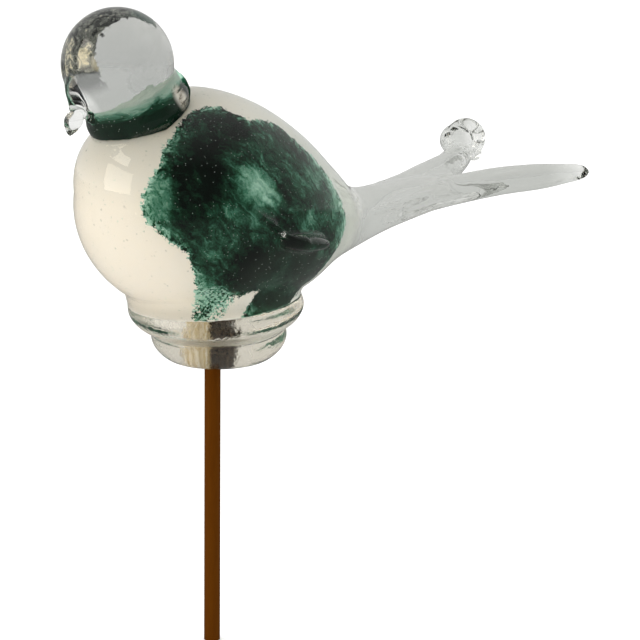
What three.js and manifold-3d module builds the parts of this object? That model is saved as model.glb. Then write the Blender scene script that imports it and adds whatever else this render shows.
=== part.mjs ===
// A glass bird on a garden stake: a round-bodied bird of clear, hot-worked glass with a forked tail,
// standing on a double-ringed glass foot. A ribbed plug in the foot holds the thin rod that goes into
// the ground.
//
// Millimetres, +Z up. The origin is the middle of the rod's lower end, which is cut square where the
// photograph ends it. The bird looks along -X and its tail points along +X. Apart from the blob on one
// prong of the tail, it is the same on both sides of the XZ plane.
import * as THREE from "three";
import { mergeVertices } from "three/addons/utils/BufferGeometryUtils.js";
import Module from "manifold-3d";

const wasm = await Module();
wasm.setup();

// Driving sizes

const GAP = 0.3; // between a piece and the one it sits in

const ROD_DIAMETER = 6;
const ROD_SIDES = 24;

const FOOT_BOTTOM = 110; // height of the foot's flat underside above the cut end of the rod
const FOOT_FLAT_RADIUS = 20;
const FOOT_RING_RADIUS = 24.7; // the lower ring
const FOOT_RING_HEIGHT = 10.8;
const FOOT_WAIST_RADIUS = 24; // the groove between the two rings
const FOOT_COLLAR_RADIUS = 31.8; // the upper ring
const FOOT_COLLAR_HEIGHT = 14;
const FOOT_SHIFT = 2.7; // the foot sits this far behind the rod's axis
const FOOT_LEAN = THREE.MathUtils.degToRad(5); // towards the beak
const FOOT_SIDES = 44;
const FOOT_CURVE_STEPS = 5;

const PLUG_DIAMETER = 20;
const PLUG_HEIGHT = 15;
const PLUG_RIBS = 26;
const PLUG_RIB_DEPTH = 0.6;
const ROD_SEAT_DEPTH = 9; // how far the rod goes into the plug
const SEAT_SIDES = 40;
const CUT_BELOW = 5; // how far below the foot a seat's cutter starts

const BODY_CENTRE = new THREE.Vector3(-5, 0, 166.8);
const BREAST_LENGTH = 47.5; // from the body's middle forwards
const BODY_HALF_WIDTH = 43;
const BODY_HALF_HEIGHT = 41.8;
const BODY_SIDES = 42;
const BREAST_RINGS = 10;
const RINGS_BETWEEN_STATIONS = 4;

// From the widest section of the body back to the end of the tail's web. The first one only sets the slope.
const BACK_STATIONS = [
  { x: -22, z: 167, halfWidth: 41.5, halfHeight: 40.5 },
  { x: BODY_CENTRE.x, z: BODY_CENTRE.z, halfWidth: BODY_HALF_WIDTH, halfHeight: BODY_HALF_HEIGHT },
  { x: 13, z: 164.2, halfWidth: 40.5, halfHeight: 38.7 },
  { x: 30, z: 161, halfWidth: 33.5, halfHeight: 31.2 },
  { x: 46, z: 158, halfWidth: 23, halfHeight: 20.4 },
  { x: 60, z: 154.8, halfWidth: 15, halfHeight: 12 },
  { x: 76, z: 156.4, halfWidth: 13, halfHeight: 8.4 },
  { x: 98, z: 160.3, halfWidth: 17, halfHeight: 6.2 },
  { x: 123, z: 163.8, halfWidth: 15, halfHeight: 4 },
];
const WEB_ROUNDING = 4; // how far the web's end bulges between the prongs

const HEAD_CENTRE = new THREE.Vector3(-39.1, 0, 220);
const HEAD_RADIUS = 20.2;
const HEAD_LEAN = THREE.MathUtils.degToRad(27); // of the neck's axis, towards the beak
const NECK_RADIUS = 17.4; // at the crease under the round of the head
const NECK_FOOT_RADIUS = 19.5; // where it flares out over the body
const NECK_LENGTH = 14.8; // from the head's middle to the widest part of that flare
const NECK_SUNK = 8; // how far it runs on inside the body
const HEAD_SIDES = 36;
const HEAD_RINGS = 16;

// The beak's line from inside the face down to its tip, measured from the head's middle
const BEAK_STATIONS = [
  { x: -11, z: -3, radius: 7 },
  { x: -17.2, z: -8.5, radius: 4.4 },
  { x: -19.8, z: -13.5, radius: 2.4 },
  { x: -20.2, z: -17, radius: 3 },
  { x: -20.3, z: -20, radius: 3.5 },
];
const BEAK_TIP_LENGTH = 3.6;
const BEAK_SIDES = 14;
const BEAK_RINGS = 9;

// Half of the fork, on the +Y side
const PRONG_STATIONS = [
  { x: 78, y: 4, z: 157, halfWidth: 7, halfThickness: 6 },
  { x: 99, y: 9.5, z: 161, halfWidth: 9.5, halfThickness: 5.2 },
  { x: 120, y: 15.5, z: 164.4, halfWidth: 8.5, halfThickness: 4.8 },
  { x: 135, y: 25, z: 166.8, halfWidth: 8, halfThickness: 4.2 },
  { x: 144.5, y: 32, z: 168.3, halfWidth: 6.5, halfThickness: 3 },
];
const PRONG_TIP_LENGTH = 6;
const PRONG_SIDES = 20;
const PRONG_RINGS = 12;
const KNOB_PLACE = new THREE.Vector3(143, 32, 171); // the blob that ends the prong on the +Y side
const KNOB_HALF_SIZES = new THREE.Vector3(8, 9.3, 7.6); // along the prong, across it, and up
const KNOB_MESH = [20, 14]; // sides and rings

// A fin is pinched out of the body on both sides, behind the middle and a little low
const FIN_PLACE = new THREE.Vector3(13.5, 39.3, 155.6);
const FIN_HALF_SIZES = new THREE.Vector3(10.5, 5, 2.2); // along the side, outwards, and thick
const FIN_TURN = THREE.MathUtils.degToRad(15); // inwards to the rear, as the body's side runs
const FIN_DROP = THREE.MathUtils.degToRad(9); // down to the rear
const FIN_MESH = [16, 10]; // sides and rings

// Shape helpers

// Brings a geometry down to shared positions and turns it into a solid that can be joined and cut.
function solidOf(geometry) {
  const bare = geometry.clone();
  bare.deleteAttribute("normal");
  bare.deleteAttribute("uv");
  const merged = mergeVertices(bare, 1e-4);
  return new wasm.Manifold(
    new wasm.Mesh({
      numProp: 3,
      vertProperties: new Float32Array(merged.attributes.position.array),
      triVerts: new Uint32Array(merged.index.array),
    }),
  );
}

// The other way: a solid's vertices and triangles as a geometry.
function geometryOf(solid) {
  const mesh = solid.getMesh();
  const geometry = new THREE.BufferGeometry();
  geometry.setAttribute("position", new THREE.BufferAttribute(mesh.vertProperties, 3));
  geometry.setIndex(new THREE.BufferAttribute(mesh.triVerts, 1));
  geometry.computeVertexNormals();
  return geometry;
}

// A closed skin over oval sections. Each section has a middle, a half-width vector and a half-height vector,
// and the skin ends in a point at both ends.
function loft(start, sections, end, sides) {
  const positions = [start.toArray()];
  for (const { middle, across, up } of sections) {
    for (let side = 0; side < sides; side++) {
      const angle = (2 * Math.PI * side) / sides;
      const point = middle.clone();
      point.addScaledVector(across, Math.cos(angle));
      point.addScaledVector(up, Math.sin(angle));
      positions.push(point.toArray());
    }
  }
  positions.push(end.toArray());
  const triangles = [];
  const last = positions.length - 1;
  for (let side = 0; side < sides; side++) {
    const next = (side + 1) % sides;
    triangles.push(0, 1 + next, 1 + side);
    for (let ring = 0; ring + 1 < sections.length; ring++) {
      const near = 1 + ring * sides;
      const far = near + sides;
      triangles.push(near + side, far + next, far + side);
      triangles.push(near + side, near + next, far + next);
    }
    const rim = 1 + (sections.length - 1) * sides;
    triangles.push(rim + side, rim + next, last);
  }
  const geometry = new THREE.BufferGeometry();
  geometry.setAttribute("position", new THREE.Float32BufferAttribute(positions.flat(), 3));
  geometry.setIndex(triangles);
  return geometry;
}

// A smooth curve through values that share the stations' spacing.
function smooth(stations, pick) {
  const points = stations.map((station) => new THREE.Vector3(...pick(station)));
  return new THREE.CatmullRomCurve3(points, false, "catmullrom", 0.5);
}

// Sub-parts of the bird

// The round body, drawn out behind into the flat root and web of the tail.
function bodySolid() {
  const sections = [];
  for (let ring = 1; ring < BREAST_RINGS; ring++) {
    const angle = (Math.PI / 2) * (ring / BREAST_RINGS);
    sections.push({
      middle: BODY_CENTRE.clone().setX(BODY_CENTRE.x - BREAST_LENGTH * Math.cos(angle)),
      across: new THREE.Vector3(0, BODY_HALF_WIDTH * Math.sin(angle), 0),
      up: new THREE.Vector3(0, 0, BODY_HALF_HEIGHT * Math.sin(angle)),
    });
  }
  const spine = smooth(BACK_STATIONS, (s) => [s.x, 0, s.z]);
  const girth = smooth(BACK_STATIONS, (s) => [s.x, s.halfWidth, s.halfHeight]);
  const steps = (BACK_STATIONS.length - 1) * RINGS_BETWEEN_STATIONS;
  for (let step = RINGS_BETWEEN_STATIONS; step <= steps; step++) {
    const along = step / steps;
    const size = girth.getPoint(along);
    sections.push({
      middle: spine.getPoint(along),
      across: new THREE.Vector3(0, size.y, 0),
      up: new THREE.Vector3(0, 0, size.z),
    });
  }
  const breastTip = BODY_CENTRE.clone().setX(BODY_CENTRE.x - BREAST_LENGTH);
  const webEnd = roundedEnd(sections, new THREE.Vector3(WEB_ROUNDING, 0, 0));
  return solidOf(loft(breastTip, sections, webEnd, BODY_SIDES));
}

// Adds shrinking sections past the last one, as a quarter of an oval, and returns the point they close on.
function roundedEnd(sections, reach) {
  const { middle, across, up } = sections.at(-1);
  for (const degrees of [26, 49, 69]) {
    const angle = THREE.MathUtils.degToRad(degrees);
    sections.push({
      middle: middle.clone().addScaledVector(reach, Math.sin(angle)),
      across: across.clone().multiplyScalar(Math.cos(angle)),
      up: up.clone().multiplyScalar(Math.cos(angle)),
    });
  }
  return middle.clone().add(reach);
}

// A rod of changing oval section along a smooth line, rounded at its far end. size gives the two half sizes,
// and overhead is the direction that the thickness is measured in.
function taperedRod({ path, size, overhead, rings, tipLength, sides }) {
  const sections = [];
  for (let ring = 0; ring <= rings; ring++) {
    const along = ring / rings;
    const forward = path.getTangent(along);
    const across = overhead.clone().cross(forward).normalize();
    const up = forward.clone().cross(across);
    const [halfWidth, halfThickness] = size(along);
    sections.push({
      middle: path.getPoint(along),
      across: across.multiplyScalar(halfWidth),
      up: up.multiplyScalar(halfThickness),
    });
  }
  const root = path.getPoint(0).addScaledVector(path.getTangent(0), -1);
  const end = roundedEnd(sections, path.getTangent(1).multiplyScalar(tipLength));
  return solidOf(loft(root, sections, end, sides));
}

// One prong of the fork, a flat paddle with a rounded tip. side is 1 or -1.
function prongSolid(side) {
  const path = smooth(PRONG_STATIONS, (s) => [s.x, side * s.y, s.z]);
  const girth = smooth(PRONG_STATIONS, (s) => [s.halfWidth, s.halfThickness, 0]);
  const size = (along) => girth.getPoint(along).toArray();
  return taperedRod({
    path,
    size,
    overhead: new THREE.Vector3(0, 0, 1),
    rings: PRONG_RINGS,
    tipLength: PRONG_TIP_LENGTH,
    sides: PRONG_SIDES,
  });
}

// The thick blob at the end of one prong, where the hot glass was let go.
function knobSolid() {
  const knob = new THREE.SphereGeometry(1, ...KNOB_MESH);
  knob.scale(...KNOB_HALF_SIZES.toArray());
  const [before, tip] = PRONG_STATIONS.slice(-2);
  knob.rotateZ(Math.atan2(tip.y - before.y, tip.x - before.x));
  knob.translate(...KNOB_PLACE.toArray());
  return solidOf(knob);
}

// The head is a round-topped stub that runs down into the body: its foot is the ring seen round the neck.
function headSolid() {
  const profile = [];
  const crease = Math.PI - Math.asin(NECK_RADIUS / HEAD_RADIUS);
  for (let ring = 0; ring <= HEAD_RINGS; ring++) {
    const angle = crease * (ring / HEAD_RINGS);
    profile.push(new THREE.Vector2(HEAD_RADIUS * Math.sin(angle), HEAD_RADIUS * Math.cos(angle)));
  }
  for (const [radius, down] of [
    [NECK_FOOT_RADIUS - 0.6, NECK_LENGTH - 1.6],
    [NECK_FOOT_RADIUS, NECK_LENGTH],
    [NECK_RADIUS, NECK_LENGTH + NECK_SUNK],
    [0, NECK_LENGTH + NECK_SUNK],
  ]) {
    profile.push(new THREE.Vector2(radius, -down));
  }
  const head = new THREE.LatheGeometry(profile.reverse(), HEAD_SIDES);
  head.rotateX(Math.PI / 2);
  head.rotateY(-HEAD_LEAN);
  head.translate(...HEAD_CENTRE.toArray());
  return solidOf(head);
}

// The beak: a short stem down the face that ends in a drop.
function beakSolid() {
  const path = smooth(BEAK_STATIONS, (s) => [HEAD_CENTRE.x + s.x, 0, HEAD_CENTRE.z + s.z]);
  const girth = smooth(BEAK_STATIONS, (s) => [s.radius, 0, 0]);
  const size = (along) => [girth.getPoint(along).x, girth.getPoint(along).x];
  return taperedRod({
    path,
    size,
    overhead: new THREE.Vector3(-1, 0, 0),
    rings: BEAK_RINGS,
    tipLength: BEAK_TIP_LENGTH,
    sides: BEAK_SIDES,
  });
}

// One pinched fin, on the side that side gives: 1 for +Y, -1 for -Y.
function finSolid(side) {
  const fin = new THREE.SphereGeometry(1, ...FIN_MESH);
  fin.scale(...FIN_HALF_SIZES.toArray());
  fin.rotateY(FIN_DROP);
  fin.rotateZ(-side * FIN_TURN);
  fin.translate(FIN_PLACE.x, side * FIN_PLACE.y, FIN_PLACE.z);
  return solidOf(fin);
}

// The foot: two rings of clear glass, one on the other, leaning a little forwards about its underside.
function footSolid() {
  const collarTop = FOOT_RING_HEIGHT + FOOT_COLLAR_HEIGHT;
  const outline = new THREE.Path();
  outline.moveTo(0, 0);
  outline.lineTo(FOOT_FLAT_RADIUS, 0);
  outline.quadraticCurveTo(FOOT_RING_RADIUS, 0, FOOT_RING_RADIUS, FOOT_RING_HEIGHT * 0.55);
  outline.quadraticCurveTo(FOOT_RING_RADIUS, FOOT_RING_HEIGHT * 0.9, FOOT_WAIST_RADIUS, FOOT_RING_HEIGHT);
  outline.quadraticCurveTo(
    FOOT_COLLAR_RADIUS - 1.5,
    FOOT_RING_HEIGHT + 2.5,
    FOOT_COLLAR_RADIUS,
    FOOT_RING_HEIGHT + FOOT_COLLAR_HEIGHT * 0.68,
  );
  outline.quadraticCurveTo(FOOT_COLLAR_RADIUS, collarTop - 1, FOOT_COLLAR_RADIUS - 4, collarTop);
  outline.lineTo(0, collarTop);
  const foot = new THREE.LatheGeometry(outline.getPoints(FOOT_CURVE_STEPS), FOOT_SIDES);
  foot.rotateX(Math.PI / 2);
  foot.rotateY(-FOOT_LEAN);
  foot.translate(FOOT_SHIFT, 0, FOOT_BOTTOM);
  return solidOf(foot);
}

// An upright cylinder between two heights, on the rod's axis.
function uprightCylinder(diameter, bottom, top, sides) {
  const cylinder = new THREE.CylinderGeometry(diameter / 2, diameter / 2, top - bottom, sides);
  cylinder.rotateX(Math.PI / 2);
  cylinder.translate(0, 0, (bottom + top) / 2);
  return cylinder;
}

// The plug: a short cylinder with ribs all round and a blind hole from below for the rod.
function plugSolid() {
  const corners = [];
  for (let rib = 0; rib < PLUG_RIBS; rib++) {
    for (const [share, depth] of [
      [0, 0],
      [0.45, 0],
      [0.55, PLUG_RIB_DEPTH],
      [0.9, PLUG_RIB_DEPTH],
    ]) {
      const angle = (2 * Math.PI * (rib + share)) / PLUG_RIBS;
      const radius = PLUG_DIAMETER / 2 - depth;
      corners.push(new THREE.Vector2(radius * Math.cos(angle), radius * Math.sin(angle)));
    }
  }
  const ribbed = new THREE.Shape(corners);
  const plug = new THREE.ExtrudeGeometry(ribbed, { depth: PLUG_HEIGHT, bevelEnabled: false });
  plug.translate(0, 0, FOOT_BOTTOM);
  const hole = uprightCylinder(
    ROD_DIAMETER + 2 * GAP,
    FOOT_BOTTOM - CUT_BELOW,
    FOOT_BOTTOM + ROD_SEAT_DEPTH + GAP,
    ROD_SIDES,
  );
  return solidOf(plug).subtract(solidOf(hole));
}

// The bird in one piece, with the seat for the plug bored up into its foot.
function birdSolid() {
  const seat = uprightCylinder(
    PLUG_DIAMETER + 2 * GAP,
    FOOT_BOTTOM - CUT_BELOW,
    FOOT_BOTTOM + PLUG_HEIGHT + GAP,
    SEAT_SIDES,
  );
  return bodySolid()
    .add(headSolid())
    .add(beakSolid())
    .add(prongSolid(1))
    .add(prongSolid(-1))
    .add(knobSolid())
    .add(finSolid(1))
    .add(finSolid(-1))
    .add(footSolid())
    .subtract(solidOf(seat));
}

function named(name, geometry, material) {
  const mesh = new THREE.Mesh(geometry, material);
  mesh.name = name;
  return mesh;
}

// Materials

const clearGlass = new THREE.MeshStandardMaterial({ color: "#dfe3dc", roughness: 0.03, metalness: 0 });
const brownCork = new THREE.MeshStandardMaterial({ color: "#6b5038", roughness: 0.8, metalness: 0 });
const brownSteel = new THREE.MeshStandardMaterial({ color: "#582f01", roughness: 0.5, metalness: 0 });

// The object

const stake = new THREE.Group();
stake.add(named("glass_bird", geometryOf(birdSolid()), clearGlass));
stake.add(named("stake_plug", geometryOf(plugSolid()), brownCork));
const rod = uprightCylinder(ROD_DIAMETER, 0, FOOT_BOTTOM + ROD_SEAT_DEPTH, ROD_SIDES);
stake.add(named("stake_rod", rod, brownSteel));

export default stake;
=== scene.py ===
# %% [markdown]
# # A glass bird on a garden stake
# The real object is hot glass, worked by hand: a ball of glass is gathered, blown and cased, its head is
# pulled up, its tail is drawn out and cut into a fork, and a wrap of clear glass makes the foot. A
# cream-white layer and a patch of green glass crumbs are sealed under the clear outside. A rod stands in
# a plug in the foot. The solids from the CAD step fix every size. Here the bird gets a smooth skin of
# clear glass, with the colours inside it as pieces of their own, and the rod and plug keep their CAD
# solids and get their finish.

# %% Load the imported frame
import math
import bpy
import numpy
from mathutils import Matrix, Vector


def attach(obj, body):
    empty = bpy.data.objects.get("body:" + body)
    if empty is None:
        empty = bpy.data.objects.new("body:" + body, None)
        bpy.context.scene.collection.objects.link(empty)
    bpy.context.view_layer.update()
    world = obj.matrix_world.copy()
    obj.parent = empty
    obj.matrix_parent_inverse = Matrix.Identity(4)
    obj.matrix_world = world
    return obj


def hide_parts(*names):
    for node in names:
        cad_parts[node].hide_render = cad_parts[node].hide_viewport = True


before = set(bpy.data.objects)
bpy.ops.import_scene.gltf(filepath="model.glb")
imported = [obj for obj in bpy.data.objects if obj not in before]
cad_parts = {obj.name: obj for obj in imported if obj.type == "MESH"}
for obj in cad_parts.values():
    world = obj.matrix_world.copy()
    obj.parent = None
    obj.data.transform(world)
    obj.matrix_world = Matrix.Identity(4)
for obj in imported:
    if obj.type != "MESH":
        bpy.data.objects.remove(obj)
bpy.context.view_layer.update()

# %% [markdown]
# ## Working in millimetres
# Blender counts in metres, and glass is measured in millimetres. Every size below is a real one in
# millimetres times MM, so the same numbers can be read off a ruler.

# %% Units and a clean selection
MM = 0.001


def nothing_selected():
    """Leaves edit mode and deselects everything, because an operator acts on all that is selected."""
    if bpy.context.object and bpy.context.object.mode != "OBJECT":
        bpy.ops.object.mode_set(mode="OBJECT")
    bpy.ops.object.select_all(action="DESELECT")


def pick(piece):
    """Selects one piece alone and makes it the active one."""
    nothing_selected()
    piece.select_set(True)
    bpy.context.view_layer.objects.active = piece


# %% [markdown]
# ## Drawing glass out
# A glassworker draws a form out of a hot gather, and its section changes on the way. The same can be
# done with a disc that is extruded again and again: each step moves the end face on and stretches it to
# the next section. A curve with a taper would do it too, but it keeps one section shape, and these
# sections get flatter on the way.

# %% Draw a form out, ring by ring
def between(stations, share):
    """The smooth line through the stations, that share of the way along."""
    place = share * (len(stations) - 1)
    first = min(int(place), len(stations) - 2)
    t = place - first
    b, c = stations[first], stations[first + 1]
    a = stations[first - 1] if first > 0 else [2 * p - q for p, q in zip(b, c)]
    d = stations[first + 2] if first + 2 < len(stations) else [2 * q - p for p, q in zip(b, c)]
    return [
        0.5 * (2 * q + (r - p) * t + (2 * p - 5 * q + 4 * r - s) * t * t + (3 * q - p - 3 * r + s) * t ** 3)
        for p, q, r, s in zip(a, b, c, d)
    ]


def draw_out(name, rings, sides, axis="X"):
    """A closed form through rings of (x, y, z, half width, half height), in millimetres.

    Along X the sizes are those in Y and Z, and along Z those in X and Y.
    """
    nothing_selected()
    places = [Vector(ring[:3]) * MM for ring in rings]
    sizes = [(1, *ring[3:]) if axis == "X" else (*ring[3:], 1) for ring in rings]
    turn = (0, math.pi / 2, 0) if axis == "X" else (0, 0, 0)
    bpy.ops.mesh.primitive_circle_add(
        vertices=sides, radius=MM, fill_type="NGON", location=places[0], rotation=turn)
    piece = bpy.context.object
    piece.name = name
    bpy.ops.object.transform_apply(location=True, rotation=True, scale=True)
    bpy.ops.object.mode_set(mode="EDIT")
    bpy.ops.mesh.select_all(action="SELECT")
    bpy.ops.transform.resize(value=sizes[0], center_override=places[0])
    for step in range(1, len(rings)):
        bpy.ops.mesh.extrude_region_move(
            TRANSFORM_OT_translate={"value": places[step] - places[step - 1]})
        growth = [now / was for now, was in zip(sizes[step], sizes[step - 1])]
        bpy.ops.transform.resize(value=growth, center_override=places[step])
    bpy.ops.mesh.select_all(action="SELECT")
    bpy.ops.mesh.normals_make_consistent(inside=False)
    bpy.ops.object.mode_set(mode="OBJECT")
    return piece


END_SHARES = (0.25, 0.5, 0.72, 0.88, 0.97)


def round_end(rings, reach):
    """Adds rings that close the last one like a quarter of an oval. reach is how far they go on."""
    x, y, z, wide, high = rings[-1]
    for share in END_SHARES:
        left = math.sqrt(1 - share * share)
        place = [start + way * share for start, way in zip((x, y, z), reach)]
        rings.append((*place, wide * left, high * left))
    return rings


# %% [markdown]
# ## The body and the root of the tail
# The body is a blown ball, a little longer than wide, that runs out behind into the flat strip the tail
# is cut from. It could start as a ball with its back pulled out, but its girth is known at each place
# along it, so it is drawn out from the breast backwards through those sections.

# %% Body rings
BODY_MIDDLE = (-5, 0, 167.4)
BREAST_LENGTH = 47.5
BODY_HALF_WIDTH = 43
BODY_HALF_HEIGHT = 41.5
BACK_STATIONS = [
    (-22, 0, 167.6, 41.5, 40.3),
    (*BODY_MIDDLE, BODY_HALF_WIDTH, BODY_HALF_HEIGHT),
    (13, 0, 165, 40.5, 38.4),
    (30, 0, 161.8, 33.5, 31),
    (46, 0, 158.5, 23, 20.2),
    (60, 0, 154.8, 15, 12),
    (76, 0, 156.4, 13, 8.4),
    (98, 0, 160.3, 17, 5.6),
    (113, 0, 162.4, 15, 2.6),
]
BREAST_STEPS = 16
BACK_STEPS = 56
BODY_SIDES = 96
BODY_END_REACH = (4, 0, 0)


def body_rings():
    """Rings from the breast to the end of the tail's strip."""
    rings = []
    for step in range(1, BREAST_STEPS):
        angle = math.pi / 2 * (step / BREAST_STEPS)
        forward = BREAST_LENGTH * math.cos(angle)
        rings.append((
            BODY_MIDDLE[0] - forward, 0, BODY_MIDDLE[2],
            BODY_HALF_WIDTH * math.sin(angle), BODY_HALF_HEIGHT * math.sin(angle)))
    start = 1 / (len(BACK_STATIONS) - 1)
    for step in range(BACK_STEPS + 1):
        rings.append(tuple(between(BACK_STATIONS, start + (1 - start) * step / BACK_STEPS)))
    return rings


# %% Draw the body out
body = draw_out("body", round_end(body_rings(), BODY_END_REACH), BODY_SIDES)
print("body", len(body.data.polygons), "faces")

# %% [markdown]
# ## The fork of the tail
# The end of the strip is cut while it is hot, and the two halves are pulled apart. One half is drawn
# into a long flat blade. The other was let go sooner and ended in a thick curled blob. Both are drawn
# out like the body.

# %% The two prongs
PRONG_STATIONS = [
    (78, 4, 157, 7, 6),
    (99, 9.5, 161, 9.5, 5.2),
    (120, 15.5, 164.1, 8.5, 5.2),
    (134, 24.3, 166.1, 8, 4.8),
    (142.5, 30.6, 167.5, 6.5, 3.6),
]
PRONG_STEPS = 30
PRONG_SIDES = 40
PRONG_TIP = (7, 5, 1.2)


def prong(name, side):
    """One half of the fork, on that side of the bird."""
    rings = []
    for step in range(PRONG_STEPS + 1):
        x, y, z, wide, high = between(PRONG_STATIONS, step / PRONG_STEPS)
        rings.append((x, side * y, z, wide, high))
    reach = (PRONG_TIP[0], side * PRONG_TIP[1], PRONG_TIP[2])
    return draw_out(name, round_end(rings, reach), PRONG_SIDES)


prongs = [prong("near_prong", -1), prong("far_prong", 1)]
print("prongs", [len(piece.data.polygons) for piece in prongs])

# %% The curled blob on the far prong
KNOB_PLACE = Vector((143, 32, 171))
KNOB_ACROSS = Vector((0.8, -0.6, 0))
KNOB_UP = Vector((0.13, 0.17, 0.98))
KNOB_LUMPS = [
    (-2.4, 0.6, 0, 6.4), (5.6, 1.6, 0, 3.5), (5, -4.6, 0, 3.3), (-1, -4.5, 0, 4.6), (1, 0, 3.5, 5),
]
KNOB_CURL_PLACE = (1.4, 1.2, -3)
KNOB_CURL_RADIUS = 6
KNOB_CURL_THICKNESS = 2.2


def knob_point(across, up, back=0):
    """A place in the blob, measured across, up and back from its middle."""
    away = KNOB_ACROSS.cross(KNOB_UP) * -1
    return (KNOB_PLACE + across * KNOB_ACROSS + up * KNOB_UP + back * away) * MM


lumps = []
for across, up, back, radius in KNOB_LUMPS:
    nothing_selected()
    bpy.ops.mesh.primitive_uv_sphere_add(
        segments=32, ring_count=20, radius=radius * MM, location=knob_point(across, up, back))
    lumps.append(bpy.context.object)
nothing_selected()
facing = KNOB_ACROSS.cross(KNOB_UP).to_track_quat("Z", "Y").to_euler()
bpy.ops.mesh.primitive_torus_add(
    major_segments=40, minor_segments=16, major_radius=KNOB_CURL_RADIUS * MM,
    minor_radius=KNOB_CURL_THICKNESS * MM, location=knob_point(*KNOB_CURL_PLACE), rotation=facing)
lumps.append(bpy.context.object)
print("knob", len(lumps), "lumps")

# %% [markdown]
# ## Ridges of the tail
# Where hot glass is pulled, it leaves long ridges. They are drawn out as thin threads that lie half sunk
# in the strip, so that they melt into it when the skin is fused.

# %% Threads
THREADS = [
    ((56, -13.5, 159.5), (84, -4, 163.5), (110, -1, 164), 1.7),
    ((56, -14.5, 157.4), (82, -12.6, 160.8), (108, -17.5, 165), 1.7),
    ((56, 13.5, 159.5), (84, 5, 163.4), (110, 2, 164), 1.7),
    ((58, 14, 158), (82, 13, 161), (110, 17.5, 165.4), 1.7),
    ((103, -18, 163.4), (118, -21, 166.9), (138, -29, 169), 1.7),
    ((104, 17, 165.4), (118, 18.5, 167.4), (134, 26, 169.4), 1.6),
]
THREAD_STEPS = 16
THREAD_SIDES = 12
THREAD_END_SHARE = 0.35
threads = []
for start, middle, last, radius in THREADS:
    rings = []
    for step in range(THREAD_STEPS + 1):
        share = step / THREAD_STEPS
        swell = radius * (THREAD_END_SHARE + (1 - THREAD_END_SHARE) * math.sin(math.pi * share))
        rings.append((*between([start, middle, last], share), swell, swell))
    threads.append(draw_out("tail_thread", rings, THREAD_SIDES))
print("threads", len(threads))

# %% [markdown]
# ## The head
# The head is a ball pulled up from the body. A ball primitive is cut off under its middle, and its open
# edge is extruded down and outwards into the ring round the neck, then on down into the body, where the
# two fuse.

# %% Head and neck
HEAD_MIDDLE = (-40.8, 0, 220)
HEAD_RADIUS = 19.9
HEAD_LEAN = math.radians(-27)
NECK_RADIUS = 17.4
NECK_FLARE_RADIUS = 19.4
NECK_LENGTH = 18
NECK_SUNK = 9

nothing_selected()
bpy.ops.mesh.primitive_uv_sphere_add(segments=72, ring_count=48, radius=HEAD_RADIUS * MM)
head = bpy.context.object
head.name = "head"
crease_height = -math.sqrt(HEAD_RADIUS ** 2 - NECK_RADIUS ** 2)
bpy.ops.object.mode_set(mode="EDIT")
bpy.ops.mesh.select_all(action="SELECT")
bpy.ops.mesh.bisect(
    plane_co=(0, 0, crease_height * MM), plane_no=(0, 0, 1), clear_inner=True, use_fill=True)
neck_steps = [  # radius and height
    (NECK_FLARE_RADIUS - 0.7, -NECK_LENGTH + 2.4),
    (NECK_FLARE_RADIUS, -NECK_LENGTH + 0.4),
    (NECK_FLARE_RADIUS - 0.2, -NECK_LENGTH - 2),
    (NECK_RADIUS - 3, -NECK_LENGTH - NECK_SUNK),
]
height, radius = crease_height, NECK_RADIUS
for next_radius, next_height in neck_steps:
    bpy.ops.mesh.extrude_region_move(
        TRANSFORM_OT_translate={"value": (0, 0, (next_height - height) * MM)})
    growth = next_radius / radius
    bpy.ops.transform.resize(value=(growth, growth, 1), center_override=(0, 0, next_height * MM))
    height, radius = next_height, next_radius
bpy.ops.mesh.select_all(action="SELECT")
bpy.ops.mesh.normals_make_consistent(inside=False)
bpy.ops.object.mode_set(mode="OBJECT")
head.rotation_euler = (0, HEAD_LEAN, 0)
head.location = Vector(HEAD_MIDDLE) * MM
bpy.ops.object.transform_apply(location=True, rotation=True, scale=True)
print("head", len(head.data.polygons), "faces")

# %% [markdown]
# ## The chest
# The breast swells up to meet the neck. A ball primitive, stretched into an oval, is sunk into the body
# there. The fusing step below lets it flow into the body. The same oval, smaller by the thickness of the
# casing, serves again for the colours inside.

# %% Chest
CHEST_PLACE = (-30.8, 0, 175.5)
CHEST_HALF_SIZES = (22, 29.5, 26.5)


def oval(name, middle, half_sizes, rotation=(0, 0, 0), segments=48, rings=28):
    """A ball stretched to these half sizes, in millimetres."""
    nothing_selected()
    bpy.ops.mesh.primitive_uv_sphere_add(
        segments=segments, ring_count=rings, radius=MM, location=Vector(middle) * MM, rotation=rotation,
        scale=half_sizes)
    piece = bpy.context.object
    piece.name = name
    bpy.ops.object.transform_apply(location=True, rotation=True, scale=True)
    return piece


chest = oval("chest", CHEST_PLACE, CHEST_HALF_SIZES)
print("chest", len(chest.data.polygons), "faces")

# %% [markdown]
# ## The skirt
# Where the body was set down on its foot while hot, it widened a little onto it. A short wide ring,
# drawn out upwards round the rod's axis, adds that. A smaller one does the same for the colours inside,
# and leans forwards as the foot does.

# %% The skirt that the body stands on
SKIRT_STATIONS = [(129, 31), (132, 31.9), (136, 32.6), (140, 32.8), (147, 29.5)]
CORE_SKIRT_STATIONS = [(129.5, 26.6), (132, 27.6), (136, 28.8), (140, 29.8), (147, 28)]
CORE_SKIRT_LEAN = math.radians(-4.5)
ROUND_SIDES = 72


def skirt(name, stations, place, lean=0.0):
    """The lowest part of the body, through stations of height and radius."""
    low = stations[0][0]
    rings = [(0, 0, height - low, radius, radius) for height, radius in stations]
    piece = draw_out(name, rings, ROUND_SIDES, axis="Z")
    piece.rotation_euler = (0, lean, 0)
    piece.location = (place * MM, 0, low * MM)
    bpy.ops.object.transform_apply(location=True, rotation=True, scale=True)
    return piece


body_skirt = skirt("body_skirt", SKIRT_STATIONS, 0)
print("skirt", len(body_skirt.data.polygons), "faces")

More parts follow.
